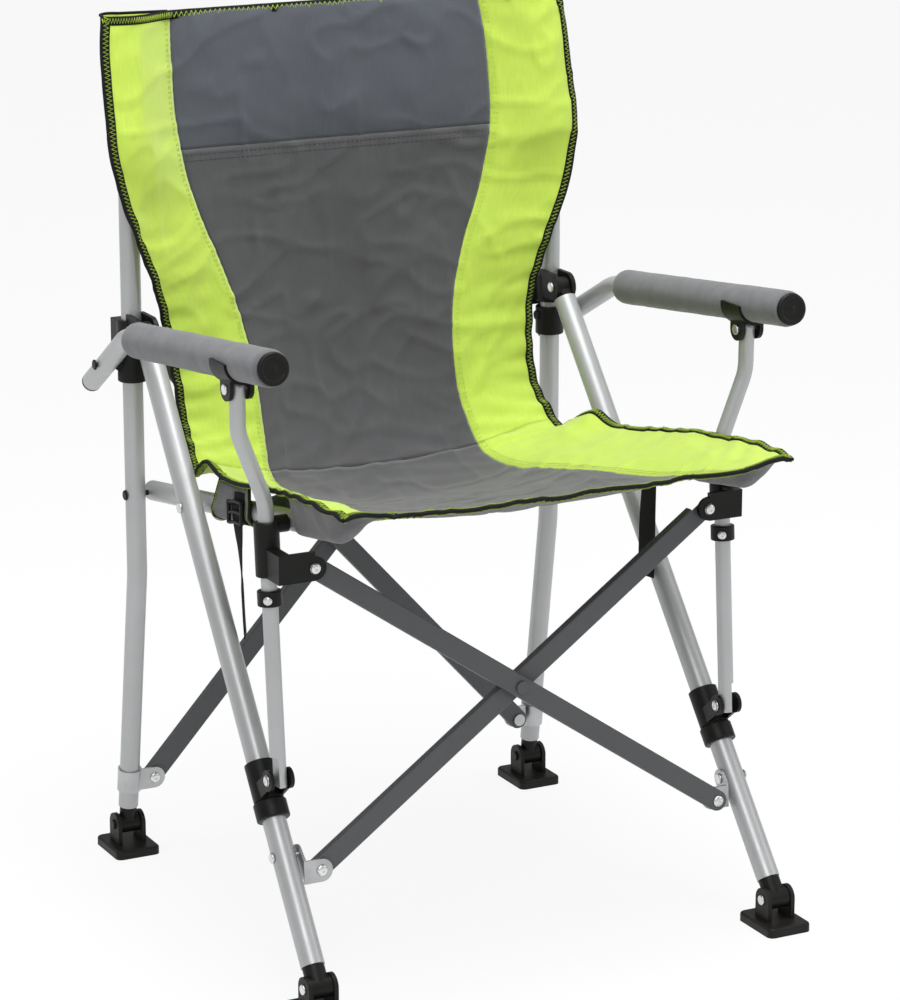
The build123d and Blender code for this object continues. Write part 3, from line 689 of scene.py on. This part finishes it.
# Cloth loops under the seat: a sleeve round each rail behind the hub and a pocket over its front end
RAIL_X, RAIL_Y0, RAIL_Z0 = 230.5, 230.0, 425.0
RAIL_Y1, RAIL_Z1 = -134.0, 481.6
RAIL_SLOPE = (RAIL_Z1 - RAIL_Z0) / (RAIL_Y1 - RAIL_Y0)
LOOP_R, LOOP_T, LOOP_STEP, LOOP_UV, LOOP_RIPPLE = 0.0136, 0.0011, 0.004, 0.008, 0.0009
LOOP_OUTER, LOOP_INNER, LOOP_LIFT, SHUT_LIFT = 1.93, 1.2, -0.0032, -0.0036
SLEEVE_U, POCKET_U = (11.75, 13.25), (14.85, LAST - 0.04)
# The pocket draws shut between these two distances from the drawing's zero
CLOSE_FROM, CLOSE_TO = -236.0, -284.0


def rail_point(y, sign):
    """Point on the middle line of a rail."""
    return at(sign * RAIL_X, y, RAIL_Z0 + RAIL_SLOPE * (y - RAIL_Y0))


def loop_path(u, sign):
    """Line of cloth from the edge of the seat, round the rail and back up to the seat."""
    outer = surface(u, sign * LOOP_OUTER, LOOP_LIFT)
    inner = surface(u, sign * LOOP_INNER, LOOP_LIFT)
    y = outer.y / MM - SHIFT_Y
    rail = rail_point(y, sign)
    turns = spread(0.1, 2.6, 11)
    arc = [rail + Vector((sign * math.cos(t), 0, -math.sin(t))) * LOOP_R for t in turns]
    path = [outer.lerp(arc[0], k / 5) for k in range(5)] + arc
    path += [arc[-1].lerp(inner, k / 7) for k in range(1, 8)]
    closed = max(0.0, min(1.0, (CLOSE_FROM - y) / (CLOSE_FROM - CLOSE_TO))) ** 1.6
    widths = spread(LOOP_OUTER, LOOP_INNER, len(path) - 1)
    shut = [surface(u, sign * w, SHUT_LIFT) for w in widths]
    line = []
    for p, q in zip(path, shut):
        p = p.lerp(q, closed)
        ripple = Vector((noise.noise(p * 60), 0, noise.noise(p * 45)))
        line.append(p + ripple * LOOP_RIPPLE * (1 - closed))
    return line


def under_loop(name, sign, side, u_range):
    """Cloth loop as a thin sheet; returns its paths."""
    u_list = spaced(*u_range, LOOP_STEP)
    rows = [loop_path(u, sign) for u in u_list]
    backs = [[p + Z * LOOP_T for p in row] for row in rows]
    uvs = [[(LOOP_UV * k, along(u)) for k in range(len(row))] for u, row in zip(u_list, rows)]
    shape = Shape()
    shape.slab(rows, backs, uvs)
    obj = shape.object(side + name, "grey_cloth", "left_rail")
    soft(obj)
    return rows


HEM_R, HEM_THREAD_R, HEM_IN, HEM_OUT = 0.0016, 0.0006, 0.003, 0.0016
for side, sign in SIDES:
    under_loop("_corner_pocket", sign, side, POCKET_U)
    rows = under_loop("_rail_sleeve", sign, side, SLEEVE_U)
    hem, hem_thread = Shape(), Shape()
    for end, step in ((rows[0], -1), (rows[-1], 1)):
        shift = Vector((0, -step * HEM_IN, 0))
        outward = Vector((sign, 0, -1)) * HEM_OUT
        fine = [end[k].lerp(end[k + 1], f / 4) for k in range(len(end) - 1) for f in range(4)]
        hem.tube(end, HEM_R, 6)
        stitches = [p - shift * (0.3 + 0.9 * (k % 2)) + outward for k, p in enumerate(fine)]
        hem_thread.tube(stitches, HEM_THREAD_R)
    soft(hem.object(side + "_sleeve_hem", "tape", "left_rail"))
    soft(hem_thread.object(side + "_sleeve_zigzag", "lime_thread", "left_rail"))

# Arm sleeves: thick foam tubes with a cloth face, closed by a moulded end
PAD_FRONT, PAD_BACK = (294.0, -218.0, 663.0), (294.0, 124.0, 622.0)
PAD_R, ARM_R, PAD_SIDES, PAD_PEBBLE = 0.019, 0.01105, 56, 0.0007
# The sleeve's rounded end: distance from the end and how much thinner it is there
PAD_END = ((0.0002, 0.0045), (0.0008, 0.0022), (0.0030, 0.0006))
PAD_FULL, PAD_RINGS = 0.006, 80
END_PROFILE = ((-0.0003, 0.0165), (-0.0022, 0.0170), (-0.0042, 0.0164), (-0.0050, 0.0150),
               (-0.0050, 0.0118), (-0.0036, 0.0106), (-0.0034, 0.0050), (-0.0044, 0.0038),
               (-0.0046, 0.0004))


def lathe(start, axis, profile, sides, rough=0.0):
    """Loops of a turned shape from pairs of distance along the axis and radius."""
    side = X if abs(axis.x) < 0.7 else Y
    up = side.cross(axis).normalized()
    side = axis.cross(up).normalized()
    loops = []
    for d, r in profile:
        loop = []
        for k in range(sides):
            t = 2 * math.pi * k / sides
            p = start + axis * d + side * (math.cos(t) * r) + up * (math.sin(t) * r)
            bump = noise.noise(p * 28) * 0.7 + noise.noise(p * 75) * 0.3
            loop.append(p + (p - start - axis * d).normalized() * (bump * rough))
        loops.append(loop)
    return loops


for side, sign in SIDES:
    front = at(sign * PAD_FRONT[0], *PAD_FRONT[1:])
    axis = at(sign * PAD_BACK[0], *PAD_BACK[1:]) - front
    length = axis.length
    axis.normalize()
    straight = length - 2 * PAD_FULL
    outer = [(d, PAD_R - thinner) for d, thinner in PAD_END] + [(PAD_FULL, PAD_R)]
    outer += [(PAD_FULL + straight * k / PAD_RINGS, PAD_R) for k in range(1, PAD_RINGS)]
    outer += [(length - PAD_FULL, PAD_R)]
    outer += [(length - d, PAD_R - thinner) for d, thinner in PAD_END[::-1]]
    inner = [(length - PAD_END[0][0], ARM_R), (length / 2, ARM_R), (PAD_END[0][0], ARM_R)]
    shape = Shape()
    loops = lathe(front, axis, outer, PAD_SIDES, PAD_PEBBLE)
    bore = lathe(front, axis, inner, PAD_SIDES)
    shape.loft(loops + bore + [loops[0]], caps=False)
    pad = shape.object(side + "_arm_sleeve", "sleeve_foam", side + "_arm")
    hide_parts(side + "_arm_pad")
    cap = Shape()
    cap.loft(lathe(front, axis, END_PROFILE, 48))
    cap.object(side + "_arm_end", "black_plastic", side + "_arm")

# Bright domed rivet heads on the moulded fittings
# Profile of a large head: height in metres and share of its radius
HEAD = ((0.0, 1.10), (0.0012, 1.08), (0.0022, 0.86), (0.0028, 0.50), (0.0029, 0.28),
        (0.0024, 0.22), (0.0024, 0.02))
RIVET_R, SMALL_R = 0.0056, 0.0042
HUB_X, HUB_Z, HUB_FACE = 232, 444, {"right": -167.6, "left": -179.2}
POST_X, FORK_X, FORK_Y, FORK_Z = 264.4, 12.95, -156, 220
COLLAR_X, COLLAR_Y, COLLAR_Z, COLLAR_R = 0.45, -140.8, 408, 12.75
COLLAR_N = Vector((-0.55, -0.83, 0))


def rivet_head(name, body, start, axis, radius):
    """A domed head with a dimple, that stands on a face."""
    profile = [(d * radius / RIVET_R, r * radius) for d, r in HEAD]
    shape = Shape()
    shape.loft(lathe(start, axis.normalized(), profile, 28))
    shape.object(name, "rivet_steel", body)


for side, sign in SIDES:
    post, fork = side + "_post", side + "_fork"
    rivet_head(side + "_hub_rivet", post, at(sign * HUB_X, HUB_FACE[side], HUB_Z), -Y, RIVET_R)
    for way in (1, -1):
        place = at(sign * POST_X + way * FORK_X, FORK_Y, FORK_Z)
        ending = "_fork_rivet_out" if way == sign else "_fork_rivet_in"
        rivet_head(side + ending, fork, place, X * way, RIVET_R)
    collar = at(sign * POST_X + sign * COLLAR_X, COLLAR_Y, COLLAR_Z)
    collar += COLLAR_N.normalized() * COLLAR_R * MM
    rivet_head(side + "_collar_rivet", post, collar, COLLAR_N, SMALL_R)

FRONT_N = Vector((0, -0.9971, 0.0763))
FRONT_LOW, REAR_LOW = (232.0, -185.3, 126.6), (-229, 256.9, 86)
PLATE_OUT, BAR_OUT = 0.0032, 0.0114
plate = at(-FRONT_LOW[0], *FRONT_LOW[1:]) + FRONT_N * PLATE_OUT
bar_face = at(*FRONT_LOW) + FRONT_N * BAR_OUT
rivet_head("left_rear_bracket_rivet", "left_frame", at(*REAR_LOW), -Y, RIVET_R)
rivet_head("left_front_bracket_rivet", "left_bracket", plate, FRONT_N, RIVET_R)
rivet_head("right_front_bar_rivet", "front_bar_b", bar_face, FRONT_N, RIVET_R)

# Webbing straps: a band sewn round the rail sleeve, a ladder buckle and a hanging tail
# Place, width, thickness and tail are in mm, STRAP_U is a station, the rest is in metres and degrees
STRAP_Y, STRAP_W, STRAP_T, STRAP_U, TAIL = -20.0, 26.0, 1.5, 12.85, 132.0
BAND_LIFT, TAIL_R, TAIL_UP, TWIST = 0.0013, 0.0160, 0.010, {"right": 12, "left": 27}
TAIL_SWAY, TAIL_WAVE, TAIL_Y, TAIL_STEPS = 0.0075, 0.0010, -0.003, 40
BUCKLE_R, BUCKLE_UP, BUCKLE_HALF, BUCKLE_END, BUCKLE_BOW = 0.0176, 0.001, 0.0165, 0.012, 0.0006
BAR_R, FRAME_R, BAR_HEIGHTS = 0.0020, 0.0024, (-0.011, 0.0, 0.011)
half, thin = STRAP_W * MM / 2, STRAP_T * MM / 2
STRAP_SECTION = ((-half, -thin * 0.4), (-half * 0.9, -thin), (half * 0.9, -thin), (half, -thin * 0.4),
                 (half, thin * 0.4), (half * 0.9, thin), (-half * 0.9, thin), (-half, thin * 0.4))
for side, sign in SIDES:
    centre = rail_point(STRAP_Y, sign)
    lean = Vector((0, -1, -RAIL_SLOPE)).normalized()
    line = loop_path(STRAP_U, sign)
    band = []
    for before, p, after in zip(line, line[1:], line[2:]):
        out = lean.cross(after - before).normalized()
        out *= 1 if out.dot(p - centre) > 0 else -1
        band.append((p + out * BAND_LIFT, lean, out))
    hanging = []
    for k in range(TAIL_STEPS + 1):
        f = k / TAIL_STEPS
        twist = math.radians(TWIST[side]) * min(1, f * 1.6) * sign
        flat = Vector((math.sin(twist), -math.cos(twist), 0))
        out = Vector((sign * math.cos(twist), math.sin(twist) * sign, 0))
        sway = TAIL_SWAY * f + TAIL_WAVE * math.sin(f * 5.0) * f
        down = TAIL_UP - f * (TAIL * MM + TAIL_UP)
        p = centre + Vector((sign * (TAIL_R - sway), TAIL_Y * f * f, down))
        hanging.append((p, lean.lerp(flat, min(1, f * 3)).normalized(), out))
    shape = Shape()
    for part in (band, hanging):
        shape.loft([[p + flat * a + out * b for a, b in STRAP_SECTION] for p, flat, out in part])
    strap = shape.object(side + "_strap_web", "webbing", side + "_rail")
    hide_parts(side + "_strap")
    buckle = Shape()
    here = centre + Vector((sign * BUCKLE_R, 0, BUCKLE_UP))
    for dz in BAR_HEIGHTS:
        bar = []
        for a in spread(-BUCKLE_HALF, BUCKLE_HALF, 10):
            bar.append(here + lean * a + Z * (dz + BUCKLE_BOW * math.cos(a * 200)))
        buckle.tube(bar, BAR_R, 10)
    for end in (-BUCKLE_HALF, BUCKLE_HALF):
        upright = [here + lean * end + Z * b for b in spread(-BUCKLE_END, BUCKLE_END, 8)]
        buckle.tube(upright, FRAME_R, 10)
    buckle.object(side + "_strap_buckle", "black_plastic", side + "_rail")

# Camera at the photograph's viewing angle, in metres and degrees
LENS, SENSOR = 135.42, 36.0
CAMERA_AT, CAMERA_DOWN, CAMERA_TURN = (-1.7549, -3.4464, 1.4986), 15.30, -27.17
camera = bpy.data.objects.new("camera", bpy.data.cameras.new("camera"))
bpy.context.scene.collection.objects.link(camera)
camera.data.lens = LENS
camera.data.sensor_width = SENSOR
camera.location = CAMERA_AT
camera.rotation_euler = (math.radians(90 - CAMERA_DOWN), 0, math.radians(CAMERA_TURN))
camera.data.clip_end = 200
bpy.context.scene.camera = camera

# Pale floor and soft studio light; what the camera sees of the floor is mostly plain white
FLOOR, FLOOR_WHITE = 40, 0.88
floor_corners = [(-FLOOR, -FLOOR, 0), (FLOOR, -FLOOR, 0), (FLOOR, FLOOR, 0), (-FLOOR, FLOOR, 0)]
floor_mesh = bpy.data.meshes.new("floor")
floor_mesh.from_pydata(floor_corners, [], [(0, 1, 2, 3)])
floor = bpy.data.objects.new("floor", floor_mesh)
bpy.context.scene.collection.objects.link(floor)
floor_mat = Nodes("floor", (0.86, 0.86, 0.86), 0.9)
floor_mat.vary(floor_mat.noise(3, 2), 0.01)
rays = floor_mat.add("ShaderNodeLightPath").outputs
mirrored = floor_mat.math("MAXIMUM", rays["Is Glossy Ray"], rays["Is Transmission Ray"])
seen = floor_mat.math("MAXIMUM", rays["Is Camera Ray"], mirrored)
white = floor_mat.add("ShaderNodeEmission", Strength=1.0)
blend = floor_mat.add("ShaderNodeMixShader")
floor_mat.link(floor_mat.math("MULTIPLY", seen, FLOOR_WHITE), blend.inputs["Fac"])
floor_mat.link(floor_mat.shader.outputs["BSDF"], blend.inputs[1])
floor_mat.link(white.outputs["Emission"], blend.inputs[2])
output = floor_mat.tree.nodes["Material Output"]
floor_mat.link(blend.outputs["Shader"], output.inputs["Surface"])
floor_mesh.materials.append(floor_mat.mat)

WORLD_LIGHT = 0.5
world = bpy.data.worlds.new("studio")
bpy.context.scene.world = world
world.use_nodes = True
background = world.node_tree.nodes["Background"].inputs
background["Color"].default_value = (1, 1, 1, 1)
background["Strength"].default_value = WORLD_LIGHT


def area_light(name, place, target, size, power):
    """A square lamp that points at a target."""
    data = bpy.data.lights.new(name, "AREA")
    data.size = size
    data.energy = power
    light = bpy.data.objects.new(name, data)
    bpy.context.scene.collection.objects.link(light)
    light.location = place
    light.rotation_euler = (Vector(target) - Vector(place)).to_track_quat("-Z", "Y").to_euler()


area_light("key", (-1.6, -2.6, 3.0), (0, 0, 0.5), 1.8, 44)
area_light("fill", (2.6, -1.8, 1.8), (0, 0, 0.5), 1.8, 12)
area_light("top", (0.1, -0.3, 3.2), (0, -0.1, 0.4), 1.6, 88)

bpy.context.scene.view_settings.view_transform = "Standard"
